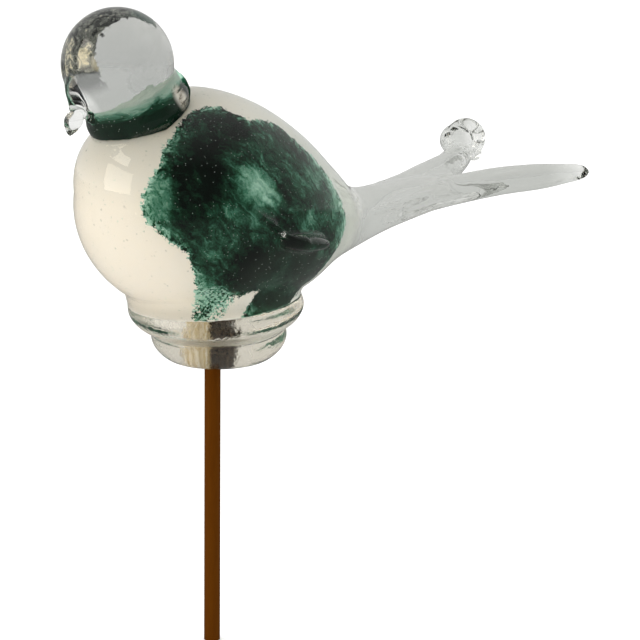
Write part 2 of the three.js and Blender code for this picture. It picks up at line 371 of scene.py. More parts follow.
# %% [markdown]
# ## The beak
# A thread of glass was laid down the front of the face, let down below it and ended in a drop. Where it
# left the face, a thin lip of glass runs back to the neck.

# %% Beak
BEAK_STATIONS = [
    (-13, 0, 1, 4.5),
    (-14.6, 0, -4, 6),
    (-15.4, 0, -8.5, 5.4),
    (-16.5, 0, -12.2, 3.5),
    (-17.4, 0, -15.2, 2.5),
    (-18.1, 0, -17.6, 3.5),
    (-18.4, 0, -19.6, 3.5),
    (-18.9, 0, -21.4, 2.6),
    (-19.5, 0, -23, 1.5),
]
BEAK_STEPS = 32
BEAK_REACH = (-0.3, 0, -1.1)
LIP_STATIONS = [
    (-16.5, 0, -13, 1.9), (-13.6, 0.5, -16.8, 1.5), (-10.6, 0, -19.4, 1.5), (-7, -4.5, -21, 1.3),
]
LIP_STEPS = 16


def thread_rings(stations, steps):
    """Rings along a thread, with places measured from the middle of the head."""
    rings = []
    for step in range(steps + 1):
        x, y, z, radius = between(stations, step / steps)
        rings.append((HEAD_MIDDLE[0] + x, HEAD_MIDDLE[1] + y, HEAD_MIDDLE[2] + z, radius, radius))
    return rings


beak_rings = round_end(thread_rings(BEAK_STATIONS, BEAK_STEPS), BEAK_REACH)
beak = draw_out("beak", beak_rings, sides=28, axis="Z")
lip = draw_out("lip", thread_rings(LIP_STATIONS, LIP_STEPS), sides=20)
print("beak", len(beak.data.polygons), "faces, lip", len(lip.data.polygons), "faces")

# %% [markdown]
# ## The pinched fins
# A fin is pinched out of each side with tongs. It starts as a flattened ball, with a low ridge ahead of
# it where the tongs drew the glass together.

# %% Fins
FIN_PLACE = (11.2, 40.2, 156.9)
FIN_HALF_SIZES = (13.6, 6.2, 3.3)
FIN_TURN = math.radians(15)
FIN_DROP = math.radians(9)
FIN_RIDGE = [(-13, 42.4, 172), (-5.5, 44.6, 166), (1, 45.6, 160.8), (9, 45.4, 158.6)]
FIN_RIDGE_STEPS = 12
FIN_RIDGE_STARTS = (0.9, 0.9)
FIN_RIDGE_ENDS = (2.2, 2.0)
fins = []
for side in (-1, 1):
    middle = (FIN_PLACE[0], side * FIN_PLACE[1], FIN_PLACE[2])
    rotation = (0, FIN_DROP, -side * FIN_TURN)
    fins.append(oval("fin", middle, FIN_HALF_SIZES, rotation, segments=32, rings=16))
    rings = []
    for step in range(FIN_RIDGE_STEPS + 1):
        share = step / FIN_RIDGE_STEPS
        x, y, z = between(FIN_RIDGE, share)
        wide, high = [start + (end - start) * share for start, end in zip(FIN_RIDGE_STARTS, FIN_RIDGE_ENDS)]
        rings.append((x, side * y, z, wide, high))
    fins.append(draw_out("fin_ridge", rings, sides=16))
print("fins", [len(fin.data.polygons) for fin in fins])

# %% [markdown]
# ## The foot
# Two rings of clear glass are wrapped under the body, one on the other. A profile could be spun, but the
# foot is also one form whose girth changes with height, so it is drawn upwards, and then leaned a little
# forwards.

# %% Foot rings
FOOT_BOTTOM = 110
LOWER_RING = [  # radius and height
    (14, -2.6), (17, -2.2), (19.2, -1.2), (21.1, 0.2), (22.9, 2), (24.2, 4), (24.9, 6.2),
    (25, 7.8), (24.7, 9.4), (23, 11), (20, 12.5),
]
UPPER_RING = [
    (22, 9), (24.2, 10), (25.4, 11), (27.6, 12.4), (29.9, 14.1), (31.5, 16.1), (32.3, 18.1),
    (32.2, 19.8), (31.4, 21.2), (29.6, 22), (27, 22.2),
]
# name, profile, how far behind the rod, roll and lean in degrees
FOOT_RINGS = [("lower_ring", LOWER_RING, 2.9, 0, -1), ("upper_ring", UPPER_RING, 2.2, 3.6, -5)]
feet = []
for name, profile, behind, roll, lean in FOOT_RINGS:
    rings = [(0, 0, height, radius, radius) for radius, height in profile]
    ring = draw_out(name, rings, ROUND_SIDES, axis="Z")
    ring.rotation_euler = (math.radians(roll), math.radians(lean), 0)
    ring.location = Vector((behind, 0, FOOT_BOTTOM)) * MM
    bpy.ops.object.transform_apply(location=True, rotation=True, scale=True)
    feet.append(ring)
print("foot rings", [len(ring.data.polygons) for ring in feet])

# %% [markdown]
# ## Fusing the glass
# Hot glass has no sharp joins: where two gathers meet, they flow together. A boolean union would leave a
# hard line there. A voxel remesh makes one skin round all the forms, and a few rounds of smoothing let
# the joins flow.

# %% One skin of glass
SKIN_VOXEL = 0.82
SKIN_SMOOTHING = 9


def finish_modifier(piece, kind, **settings):
    """Adds a modifier with these settings and applies it."""
    pick(piece)
    bpy.ops.object.modifier_add(type=kind)
    modifier = piece.modifiers[-1]
    for setting, value in settings.items():
        setattr(modifier, setting, value)
    bpy.ops.object.modifier_apply(modifier=modifier.name)


nothing_selected()
for piece in [body, chest, body_skirt, *prongs, *lumps, *threads, head, beak, lip, *fins, *feet]:
    piece.select_set(True)
bpy.context.view_layer.objects.active = body
bpy.ops.object.join()
skin = bpy.context.object
skin.name = "glass_skin"
finish_modifier(skin, "REMESH", mode="VOXEL", voxel_size=SKIN_VOXEL * MM)
finish_modifier(skin, "SMOOTH", factor=0.5, iterations=SKIN_SMOOTHING)
print("skin", len(skin.data.polygons), "faces after fusing")

# %% The seat for the plug
PLUG_DIAMETER = 20
PLUG_HEIGHT = 15
GAP = 0.3
CUT_BELOW = 8
nothing_selected()
bpy.ops.mesh.primitive_cylinder_add(
    vertices=64, radius=(PLUG_DIAMETER / 2 + GAP) * MM, depth=(PLUG_HEIGHT + GAP + CUT_BELOW) * MM,
    location=(0, 0, (FOOT_BOTTOM + (PLUG_HEIGHT + GAP - CUT_BELOW) / 2) * MM))
seat = bpy.context.object
finish_modifier(skin, "BOOLEAN", operation="DIFFERENCE", object=seat, solver="EXACT")
bpy.data.objects.remove(seat)
pick(skin)
bpy.ops.object.shade_smooth_by_angle(angle=math.radians(40))
print("skin", len(skin.data.polygons), "faces with the seat")

# %% [markdown]
# ## The colours sealed in the glass
# The inner gather is opal glass, rolled in green crumbs and cased in clear. It is a body of its own a
# few millimetres under the skin, drawn out from the same rings, and it ends where the tail's clear strip
# begins.

# %% Opal core
CASING = 2
CORE_END = 58
CORE_END_REACH = (7, 0, 0)
CORE_VOXEL = 0.9
CORE_SMOOTHING = 16
CORE_SKIRT_PLACE = -3
core_rings = []
for x, y, z, wide, high in body_rings():
    if x < CORE_END:
        core_rings.append((x, y, z, wide - CASING, high - CASING))
core_rings = core_rings[1:]  # without the foremost ring, which keeps some casing over the breast
core = draw_out("opal_core", round_end(list(core_rings), CORE_END_REACH), BODY_SIDES)
core_chest = oval("core_chest", CHEST_PLACE, [size - CASING for size in CHEST_HALF_SIZES])
core_skirt = skirt("core_skirt", CORE_SKIRT_STATIONS, CORE_SKIRT_PLACE, CORE_SKIRT_LEAN)
pick(core)
core_chest.select_set(True)
core_skirt.select_set(True)
bpy.ops.object.join()
finish_modifier(core, "REMESH", mode="VOXEL", voxel_size=CORE_VOXEL * MM)
finish_modifier(core, "SMOOTH", factor=0.5, iterations=CORE_SMOOTHING)
pick(core)
bpy.ops.object.shade_smooth()
print("core", len(core.data.polygons), "faces")

# %% [markdown]
# ### The outline of the green patch
# The green lies on the side of the core like a saddle blanket. Its outline is drawn on the core itself,
# as places along the bird and angles round it, down from its back. Each point of the mesh then stores
# how far inside that outline it lies, in millimetres. Ovals in the material could do this too, but not
# with the thorn-shaped gap.

# %% How far each point lies inside the outline
PATCH_OUTLINE = [
    (-22, 23), (-15, 21), (-9, 25), (-2, 36), (11, 33), (19, 45), (29, 55), (35, 70), (39.5, 84),
    (40, 99), (36, 114), (28, 136), (18, 150), (6, 156), (-9, 150), (-2, 134), (-10.5, 136.5),
    (-17.5, 152), (-21, 156), (-26.3, 131), (-32, 111), (-38, 103), (-43.5, 90), (-45, 78),
    (-43, 59), (-39, 50), (-35.5, 38), (-29, 31),
]
ring_table = numpy.array(core_rings)


def core_ring(x):
    """The height of the core's middle, its half width and its half height at those places along the bird."""
    return [numpy.interp(x, ring_table[:, 0], ring_table[:, column]) for column in (2, 3, 4)]


def inside_outline(points):
    """How far points of one side of the core lie inside the outline, and less than nothing outside."""
    middle, wide, high = core_ring(points[:, 0])
    turned = numpy.arctan2(numpy.abs(points[:, 1]) / wide, (points[:, 2] - middle) / high)
    angle = numpy.degrees(turned)
    on_rings = numpy.column_stack(
        [points[:, 0], wide * numpy.sin(turned), middle + high * numpy.cos(turned)])
    nearest = numpy.full(len(points), 1e9)
    inside = numpy.zeros(len(points), dtype=bool)
    for (x1, angle1), (x2, angle2) in zip(PATCH_OUTLINE, PATCH_OUTLINE[1:] + PATCH_OUTLINE[:1]):
        ends = []
        for x, corner in ((x1, angle1), (x2, angle2)):
            middle, wide, high = core_ring(x)
            turn = math.radians(corner)
            ends.append(numpy.array([x, wide * math.sin(turn), middle + high * math.cos(turn)]))
        along = ends[1] - ends[0]
        offset = on_rings - ends[0]
        share = numpy.clip(offset @ along / (along @ along), 0, 1)
        nearest = numpy.minimum(nearest, numpy.linalg.norm(offset - share[:, None] * along, axis=1))
        crossed = (angle1 > angle) != (angle2 > angle)
        across = x1 + (angle - angle1) * (x2 - x1) / (angle2 - angle1 + 1e-9)
        inside ^= crossed & (points[:, 0] < across)
    return numpy.where(inside, nearest, -nearest)


core_points = numpy.empty(len(core.data.vertices) * 3)
core.data.vertices.foreach_get("co", core_points)
depth = inside_outline(core_points.reshape(-1, 3) / MM)
core.data.attributes.new("inside_patch", "FLOAT", "POINT").data.foreach_set("value", depth)
print("patch reaches", round(float(depth.max()), 1), "mm inside its outline")

# %% [markdown]
# ### Green glass in the neck
# A cushion of green frit lies between the body and the head. The round neck works as a lens and makes it
# look as wide as the neck itself. It is drawn upwards like the foot and leaned with the head.

# %% Neck frit
NECK_FRIT_BACK = 3
FRIT_LEAN = math.radians(-31)
TEAR_WIDTH = 4.5
TEAR_HEIGHT = 3.2
neck_profile = [  # radius and height
    (12.4, -24), (15, -22), (16.6, -19.6), (16.4, -17), (16, -14.6), (15.2, -12.5), (13, -10.6),
    (9.6, -9.2), (6, -8.4), (2, -8.2),
]
neck_rings = [(0, 0, height, radius, radius) for radius, height in neck_profile]
neck_frit = draw_out("neck_frit", neck_rings, sides=64, axis="Z")
neck_frit.rotation_euler = (0, FRIT_LEAN, 0)
neck_frit.location = Vector((HEAD_MIDDLE[0] + NECK_FRIT_BACK, 0, HEAD_MIDDLE[2])) * MM
bpy.ops.object.transform_apply(location=True, rotation=True, scale=True)
finish_modifier(neck_frit, "SUBSURF", levels=2, render_levels=2)
torn = bpy.data.textures.new("torn_edge", "CLOUDS")
torn.noise_scale = TEAR_WIDTH * MM
torn.noise_depth = 4
finish_modifier(
    neck_frit, "DISPLACE", texture=torn, texture_coords="LOCAL", direction="Z",
    strength=TEAR_HEIGHT * MM, mid_level=0.5)
pick(neck_frit)
bpy.ops.object.shade_smooth()
print("neck frit", len(neck_frit.data.polygons), "faces")

# %% [markdown]
# ### Painted reflection in the forehead
# The front of the head has a dark, mottled veil in it, a painted reflection of the dark room as the
# clear head would refract it. It is a thin cap of a ball just under the surface. A cut ball gives it the
# curve of the head in one step.

# %% Veil of painted reflection
VEIL_RADIUS = 19.1
VEIL_THICKNESS = 0.2
VEIL_FACING = Vector((-0.72, -0.06, 0.69)).normalized()
VEIL_HALF_ANGLE = math.radians(80)
nothing_selected()
bpy.ops.mesh.primitive_uv_sphere_add(
    segments=64, ring_count=40, radius=VEIL_RADIUS * MM, location=Vector(HEAD_MIDDLE) * MM)
veil = bpy.context.object
veil.name = "painted_reflection_veil"
bpy.ops.object.transform_apply(location=True, rotation=True, scale=True)
bpy.ops.object.mode_set(mode="EDIT")
bpy.ops.mesh.select_all(action="SELECT")
cut_place = (Vector(HEAD_MIDDLE) + VEIL_RADIUS * math.cos(VEIL_HALF_ANGLE) * VEIL_FACING) * MM
bpy.ops.mesh.bisect(plane_co=cut_place, plane_no=VEIL_FACING, clear_inner=True)
bpy.ops.object.mode_set(mode="OBJECT")
finish_modifier(veil, "SOLIDIFY", thickness=VEIL_THICKNESS * MM, offset=-1)
pick(veil)
bpy.ops.object.shade_smooth()
print("veil", len(veil.data.polygons), "faces")

# %% [markdown]
# ## Finishes
# Each material is named for what the real one is, but the film in the head is named for the painted
# reflection it is. One function turns a hex colour into linear values, and one adds a node with its
# settings and links. Settings that come up often have a name. A mix node for colours has them at its
# inputs 6 and 7, and its result at output 2.

# %% Helpers for materials
ADD = {"operation": "ADD"}
SUBTRACT = {"operation": "SUBTRACT"}
MULTIPLY = {"operation": "MULTIPLY"}
MULTIPLY_ADD = {"operation": "MULTIPLY_ADD"}
DOT_PRODUCT = {"operation": "DOT_PRODUCT"}
LENGTH = {"operation": "LENGTH"}
SMOOTH_STEP = {"interpolation_type": "SMOOTHSTEP"}
OF_COLOURS = {"data_type": "RGBA"}
STRETCHED = {"vector_type": "TEXTURE"}


def linear(hex_colour):
    """A colour written as on a paint card, turned into the linear values that a shader works in."""
    values = [int(hex_colour[place:place + 2], 16) / 255 for place in (1, 3, 5)]
    return [v / 12.92 if v <= 0.04045 else ((v + 0.055) / 1.055) ** 2.4 for v in values] + [1]


def set_inputs(tree, node, **inputs):
    """Gives inputs of a node a value, a hex colour or a link.

    The input i0 is the first one, i1 the second, and so on. Others go by their names.
    """
    for key, value in inputs.items():
        socket = node.inputs[int(key[1:])] if key[1:].isdigit() else node.inputs[key.replace("_", " ")]
        if isinstance(value, bpy.types.NodeSocket):
            tree.links.new(value, socket)
        else:
            socket.default_value = linear(value) if isinstance(value, str) else value


def add_node(tree, kind, settings=None, **inputs):
    """Adds a node with its own settings and its inputs."""
    node = tree.nodes.new(kind)
    for setting, value in (settings or {}).items():
        setattr(node, setting, value)
    set_inputs(tree, node, **inputs)
    return node


def new_material(name):
    """A material with this name, its node tree and its shader."""
    material = bpy.data.materials.new(name)
    material.use_nodes = True
    return material, material.node_tree, material.node_tree.nodes["Principled BSDF"]


def place_in_millimetres(tree):
    """Where a point lies on the piece, in millimetres."""
    place = add_node(tree, "ShaderNodeTexCoord").outputs["Object"]
    return add_node(tree, "ShaderNodeVectorMath", {"operation": "SCALE"}, i0=place, Scale=1 / MM).outputs[0]


def set_tones(ramp, tones):
    """Gives a colour ramp these tones, each a place on the ramp and a hex colour."""
    elements = ramp.color_ramp.elements
    while len(elements) < len(tones):
        elements.new(0.5)
    for element, (at, colour) in zip(elements, tones):
        element.position = at
        element.color = linear(colour)


print("mid grey is", round(linear("#808080")[0], 3), "in linear values")

# %% [markdown]
# ### What a polarising filter does
# A photographer of glass turns a polarising filter until the mirror images on it fade and the colour
# inside shows. Blender has no such filter, but a light path tells what kind of ray is asking, so the
# room and the floor can be dimmer for rays that come off the glass as off a mirror. The same flags let
# the light through to the opal inside at full strength.

# %% Kinds of rays
AFTER_OPAL = 0.5


def ray_kinds(tree):
    """Three flags of a ray: it comes off glass as off a mirror, it is seen through glass, it lights opal."""
    path = add_node(tree, "ShaderNodeLightPath")
    lights = add_node(
        tree, "ShaderNodeMath", {"operation": "GREATER_THAN"},
        i0=path.outputs["Diffuse Depth"], i1=AFTER_OPAL).outputs[0]
    not_lights = add_node(tree, "ShaderNodeMath", SUBTRACT, i0=1.0, i1=lights).outputs[0]
    mirrored = add_node(
        tree, "ShaderNodeMath", MULTIPLY,
        i0=path.outputs["Is Glossy Ray"], i1=path.outputs["Is Reflection Ray"]).outputs[0]
    through = add_node(
        tree, "ShaderNodeMath", MULTIPLY, i0=path.outputs["Is Glossy Ray"], i1=not_lights).outputs[0]
    return {"mirrored": mirrored, "through": through, "lights": lights}


# %% [markdown]
# ### Clear soda-lime glass
# The skin is soda-lime glass, shaped hot and fire-polished, so it has no roughness at all. Its index of
# refraction is a typical 1.5. Thick glass looks a little grey, and the casing over the opal is too thin
# for that. Absorption in the volume would give it too, but it is slow to render, so the grey is in the
# base colour and follows the place: greyer in the head, warmer in the foot, lighter in the thin ends,
# where light goes to and fro many times. The foot was turned in the hand, which left faint waves in it.

# %% Where the glass is thick
GLASS_THICK = "#c2c4c0"
GLASS_THIN = "#fdfdfb"
GLASS_OF_HEAD = "#b8bab7"
GLASS_OF_FOOT = "#cfcabd"
GLASS_OF_TIPS = "#eff0ee"
CASED_MIDDLE = (2, 0, 166)
CASED_HALF_SIZES = (56, 44, 43)
CASING_ENDS = (0.98, 1.08)
HEAD_STARTS = (198, 212)
FOOT_STARTS = (137, 130)
TIPS_START = (139, 147)
BEAK_MIDDLE = (-60, 0, 205)
BEAK_STARTS = (11, 8)
clear_glass, nodes, shader = new_material("clear_soda_lime_glass")
place = place_in_millimetres(nodes)
parts = add_node(nodes, "ShaderNodeSeparateXYZ", Vector=place)
centred = add_node(nodes, "ShaderNodeVectorMath", SUBTRACT, i0=place, i1=CASED_MIDDLE).outputs[0]
shares = [1 / size for size in CASED_HALF_SIZES]
scaled = add_node(nodes, "ShaderNodeVectorMath", MULTIPLY, i0=centred, i1=shares).outputs[0]
from_casing = add_node(nodes, "ShaderNodeVectorMath", LENGTH, i0=scaled).outputs["Value"]
from_beak = add_node(
    nodes, "ShaderNodeVectorMath", {"operation": "DISTANCE"}, i0=place, i1=BEAK_MIDDLE).outputs["Value"]
thick, in_head, in_foot, in_tips, in_beak = [
    add_node(nodes, "ShaderNodeMapRange", SMOOTH_STEP, Value=value, From_Min=start, From_Max=end).outputs[0]
    for value, (start, end) in [
        (from_casing, CASING_ENDS), (parts.outputs[2], HEAD_STARTS), (parts.outputs[2], FOOT_STARTS),
        (parts.outputs[0], TIPS_START), (from_beak, BEAK_STARTS)]
]
in_thin_part = add_node(nodes, "ShaderNodeMath", {"operation": "MAXIMUM"}, i0=in_tips, i1=in_beak).outputs[0]

# %% Tint and surface of the glass
WAVE_WIDTH = 3.6
WAVE_HEIGHT = 0.25
kinds = ray_kinds(nodes)
tint = add_node(nodes, "ShaderNodeMix", OF_COLOURS, Factor=thick, i6=GLASS_THIN, i7=GLASS_THICK).outputs[2]
for share, colour in [
        (in_head, GLASS_OF_HEAD), (in_foot, GLASS_OF_FOOT), (in_thin_part, GLASS_OF_TIPS),
        (kinds["lights"], GLASS_THIN)]:
    tint = add_node(nodes, "ShaderNodeMix", OF_COLOURS, Factor=share, i6=tint, i7=colour).outputs[2]
waves = add_node(
    nodes, "ShaderNodeTexNoise", Vector=place, Scale=1 / WAVE_WIDTH, Detail=3, Roughness=0.6,
    Distortion=0.6).outputs["Fac"]
wavy = add_node(nodes, "ShaderNodeBump", Height=waves, Distance=WAVE_HEIGHT * MM, Strength=in_foot).outputs[0]
set_inputs(
    nodes, shader, Base_Color=tint, Normal=wavy, Roughness=0.0, IOR=1.5, Transmission_Weight=1.0,
    Specular_IOR_Level=0.3)
skin.data.materials.append(clear_glass)
print("glass waves", WAVE_HEIGHT, "mm high in the foot")

# %% [markdown]
# ### Opal glass with green crumbs
# The inner gather is cream opal glass. Its sides were rolled in crushed green glass, called frit, which
# melted into a dark cloudy patch with loose crumbs round its edge. Opal glass scatters light inside, so
# it gets subsurface scattering, and it thins out to nothing where the clear tail begins. A painted
# texture could show all this, but noise and cells at the real sizes of crumbs and clouds need no image,
# and they go all round the bird.

# %% Spots and specks
def spot(tree, place, middle, half_sizes, turn=0.0, soft=(1.0, 0.2), top=1.0):
    """A soft oval spot in the glass: its middle and half sizes in millimetres, turned round the Y axis.

    soft says where it starts and where it is full, as shares of the half sizes, and top is its full value.
    """
    local = add_node(
        tree, "ShaderNodeMapping", STRETCHED, Vector=place, Location=middle,
        Rotation=(0, math.radians(turn), 0), Scale=half_sizes).outputs[0]
    distance = add_node(tree, "ShaderNodeVectorMath", LENGTH, i0=local).outputs["Value"]
    return add_node(
        tree, "ShaderNodeMapRange", SMOOTH_STEP, Value=distance,
        From_Min=soft[0], From_Max=soft[1], To_Min=0.0, To_Max=top).outputs[0]


def specks(tree, place, spacing, radius, chance, strength):
    """Round specks. Spacing and radius are in millimetres, and chance is the share of places with a speck."""
    cells = add_node(tree, "ShaderNodeTexVoronoi", Vector=place, Scale=1 / spacing)
    dots = add_node(
        tree, "ShaderNodeMath", {"operation": "LESS_THAN"},
        i0=cells.outputs["Distance"], i1=radius / spacing).outputs[0]
    draw = add_node(tree, "ShaderNodeSeparateColor", Color=cells.outputs["Color"]).outputs[0]
    drawn = add_node(tree, "ShaderNodeMath", {"operation": "LESS_THAN"}, i0=draw, i1=chance).outputs[0]
    drawn_dots = add_node(tree, "ShaderNodeMath", MULTIPLY, i0=dots, i1=drawn).outputs[0]
    return add_node(tree, "ShaderNodeMath", MULTIPLY, i0=drawn_dots, i1=strength).outputs[0]


# %% Edge of the patch
CRUMB = 0.6
RAGGED_WIDTH = 3.5
RAGGED_DEPTH = 7.0
opal, nodes, shader = new_material("opal_glass_with_green_frit")
place = place_in_millimetres(nodes)
depth = add_node(nodes, "ShaderNodeAttribute", {"attribute_name": "inside_patch"}).outputs["Fac"]
ragged = add_node(
    nodes, "ShaderNodeTexNoise", Vector=place, Scale=1 / RAGGED_WIDTH, Detail=6,
    Roughness=0.72).outputs["Fac"]
ragged_depth = add_node(
    nodes, "ShaderNodeMath", MULTIPLY_ADD, i0=ragged, i1=RAGGED_DEPTH, i2=-RAGGED_DEPTH / 2).outputs[0]
edge = add_node(nodes, "ShaderNodeMath", ADD, i0=depth, i1=ragged_depth).outputs[0]
loose = spot(nodes, place, (-18, -26, 136.5), (8.5, 10, 9), soft=(1.1, 0.7))
fringe = add_node(nodes, "ShaderNodeMath", MULTIPLY_ADD, i0=loose, i1=1.8, i2=0.6).outputs[0]
share = add_node(nodes, "ShaderNodeMath", {"operation": "DIVIDE"}, i0=edge, i1=fringe).outputs[0]
density = add_node(
    nodes, "ShaderNodeMapRange", Value=share, From_Min=-1.0, From_Max=1.2, To_Min=0.0, To_Max=1.05).outputs[0]
crumbs = add_node(nodes, "ShaderNodeTexVoronoi", Vector=place, Scale=1 / CRUMB)
crumb_pick = add_node(nodes, "ShaderNodeSeparateColor", Color=crumbs.outputs["Color"])
surplus = add_node(nodes, "ShaderNodeMath", SUBTRACT, i0=density, i1=crumb_pick.outputs[0]).outputs[0]
green = add_node(
    nodes, "ShaderNodeMapRange", SMOOTH_STEP, Value=surplus, From_Min=-0.03, From_Max=0.05).outputs[0]
print("frit crumbs", CRUMB, "mm wide")

# %% Clouds and strokes inside the patch
WARP_WIDTH = 8
WARP_REACH = (9, 9, 9)
CLOUD_WIDTH = 15
STROKE_WIDTH = 1.5
STROKE_TURN = math.radians(48)
STROKE_STRETCH = (7, 2, 1)
FUZZ_WIDTH = 2.2
GRAIN_WIDTH = 0.7
wobble = add_node(nodes, "ShaderNodeTexNoise", Vector=place, Scale=1 / WARP_WIDTH, Detail=3, Roughness=0.6)
warped = add_node(
    nodes, "ShaderNodeVectorMath", MULTIPLY_ADD,
    i0=wobble.outputs["Color"], i1=WARP_REACH, i2=place).outputs[0]
along_strokes = add_node(
    nodes, "ShaderNodeMapping", STRETCHED, Vector=warped,
    Rotation=(0, STROKE_TURN, 0), Scale=STROKE_STRETCH).outputs[0]
cloud, strokes, fuzz, grain = [
    add_node(
        nodes, "ShaderNodeTexNoise", Vector=vector, Scale=1 / width, Detail=detail,
        Roughness=roughness).outputs["Fac"]
    for vector, width, detail, roughness in [
        (warped, CLOUD_WIDTH, 8, 0.6), (along_strokes, STROKE_WIDTH, 4, 0.65),
        (warped, FUZZ_WIDTH, 5, 0.7), (place, GRAIN_WIDTH, 2, 0.6)]
]
stroke_tone, grain_tone, crumb_tone = [
    add_node(nodes, "ShaderNodeMath", MULTIPLY_ADD, i0=value, i1=weight, i2=offset).outputs[0]
    for value, weight, offset in [
        (strokes, 0.6, -0.3), (grain, 0.2, -0.1), (crumb_pick.outputs[1], 0.65, -0.2)]
]
near_edge = add_node(
    nodes, "ShaderNodeMapRange", SMOOTH_STEP, Value=edge,
    From_Min=5.0, From_Max=-0.5, To_Min=0.0, To_Max=0.5).outputs[0]
fuzz_tone = add_node(
    nodes, "ShaderNodeMapRange", Value=fuzz, From_Min=0.4, From_Max=0.62, To_Min=-0.25).outputs[0]
edge_tone = add_node(nodes, "ShaderNodeMath", MULTIPLY, i0=near_edge, i1=fuzz_tone).outputs[0]
print("strokes", STROKE_WIDTH, "mm wide")

# %% Dark and pale places of the patch, and painted shade by the fin
FRIT_SPOTS_AND_FIN_SHADE = [
    ((-9, -40, 179), (17, 20, 7), 48, (1.2, 0.1), 0.3),
    ((33, -26, 165), (9, 12, 20), -20, (1.2, 0.3), 0.12),
    ((16, -34, 183), (14, 14, 11), 30, (1.2, 0.3), 0.07),
    ((-29, -33, 185), (11, 14, 16), 0, (1.2, 0.3), -0.2),
    ((-19, -25, 197), (17, 16, 9), 0, (1.2, 0.3), -0.2),
    ((-41, -23, 179), (6, 14, 26), -10, (1.2, 0.3), 0.2),
    ((-14, -38, 151), (15, 12, 12), 0, (1.2, 0.3), -0.16),
    # Painted shade: this last dark place darkens the groove above the near fin.
    ((3, -42, 163), (14, 8, 6), 40, (1.3, 0.3), -0.22),
]
PATCH_OFFSET = -0.03
FRIT_TONES = [
    (0.3, "#06120b"), (0.42, "#12301f"), (0.52, "#25503b"), (0.62, "#4a7d66"), (0.74, "#7fae97"),
    (0.9, "#b4d8c6"),
]
smooth_low = spot(nodes, place, (14, -33, 140), (30, 18, 17), turn=25, soft=(1.1, 0.7))
calm = add_node(nodes, "ShaderNodeMath", MULTIPLY_ADD, i0=smooth_low, i1=-0.85, i2=1.0).outputs[0]
tone = cloud
for value, weight in [(stroke_tone, calm), (edge_tone, calm), (grain_tone, 1.0)]:
    tone = add_node(nodes, "ShaderNodeMath", MULTIPLY_ADD, i0=value, i1=weight, i2=tone).outputs[0]
for middle, half_sizes, turn, soft, top in FRIT_SPOTS_AND_FIN_SHADE:
    part = spot(nodes, place, middle, half_sizes, turn, soft, top)
    tone = add_node(nodes, "ShaderNodeMath", ADD, i0=tone, i1=part).outputs[0]
tone = add_node(nodes, "ShaderNodeMath", ADD, i0=tone, i1=PATCH_OFFSET).outputs[0]
tone = add_node(nodes, "ShaderNodeMath", MULTIPLY_ADD, i0=loose, i1=crumb_tone, i2=tone).outputs[0]
ramp = add_node(nodes, "ShaderNodeValToRGB", Fac=tone)
set_tones(ramp, FRIT_TONES)
smooth_share = add_node(nodes, "ShaderNodeMath", MULTIPLY, i0=smooth_low, i1=0.75).outputs[0]
frit = ramp.outputs["Color"]
pale_specks = specks(nodes, place, spacing=1.1, radius=0.14, chance=0.45, strength=0.7)
for share, colour in [(smooth_share, "#28322a"), (pale_specks, "#c3d2c8")]:
    frit = add_node(nodes, "ShaderNodeMix", OF_COLOURS, Factor=share, i6=frit, i7=colour).outputs[2]
print("patch has", len(FRIT_SPOTS_AND_FIN_SHADE), "dark and pale places")

# %% Cream opal, its painted shade and its thin end
CREAM = "#f3ece1"
# Painted shade: the cream turns greyer towards the back, the side turned away from the window.
CREAM_IN_PAINTED_SHADE = "#dcdfd8"
SEED = "#4b4c44"
OPAL_ENDS = (60.0, 44.0)
OPAL_DEPTH = 24
along = add_node(nodes, "ShaderNodeSeparateXYZ", Vector=place).outputs[0]
# Painted shade, from the breast to the back.
painted_shade_to_back = add_node(
    nodes, "ShaderNodeMapRange", SMOOTH_STEP, Value=along, From_Min=-30.0, From_Max=35.0).outputs[0]
cream = add_node(nodes, "ShaderNodeMix", OF_COLOURS, Factor=painted_shade_to_back, i6=CREAM, i7=CREAM_IN_PAINTED_SHADE).outputs[2]
seeds = specks(nodes, place, spacing=8.0, radius=0.35, chance=0.5, strength=0.7)
for share, colour in [(seeds, SEED), (green, frit)]:
    cream = add_node(nodes, "ShaderNodeMix", OF_COLOURS, Factor=share, i6=cream, i7=colour).outputs[2]
torn_along = add_node(nodes, "ShaderNodeMath", MULTIPLY_ADD, i0=ragged_depth, i1=0.8, i2=along).outputs[0]
thin = add_node(
    nodes, "ShaderNodeMapRange", SMOOTH_STEP, Value=torn_along,
    From_Min=OPAL_ENDS[0], From_Max=OPAL_ENDS[1]).outputs[0]
set_inputs(
    nodes, shader, Base_Color=cream, Alpha=thin, Roughness=0.5, Specular_IOR_Level=0.0,
    Subsurface_Weight=1.0, Subsurface_Radius=(1.0, 0.98, 0.94), Subsurface_Scale=OPAL_DEPTH * MM)
core.data.materials.append(opal)
print("opal ends between", OPAL_ENDS, "mm behind the rod")

# %% [markdown]
# ### Green frit in the neck
# The frit in the neck is the same crushed glass, drawn up when the head was pulled. It is dark below,
# and pale and torn at its upper edge, where it thins out into the clear head. A noise that is stretched
# across the neck gives the streaks that the pull left, and the height on the neck shifts its tones. Near
# the back one place stayed bare and shows streaks of pale glass.

# %% Neck frit finish
HEAD_AXIS = Vector((math.sin(HEAD_LEAN), 0, math.cos(HEAD_LEAN)))
SWIRL_WIDTH = 3.5
NECK_LEVELS = (-19.0, -10.0)
NECK_TONES = [(0.25, "#0f261a"), (0.45, "#1e4633"), (0.55, "#5f917b"), (0.68, "#a9ccb9"), (1.0, "#cfdcd0")]
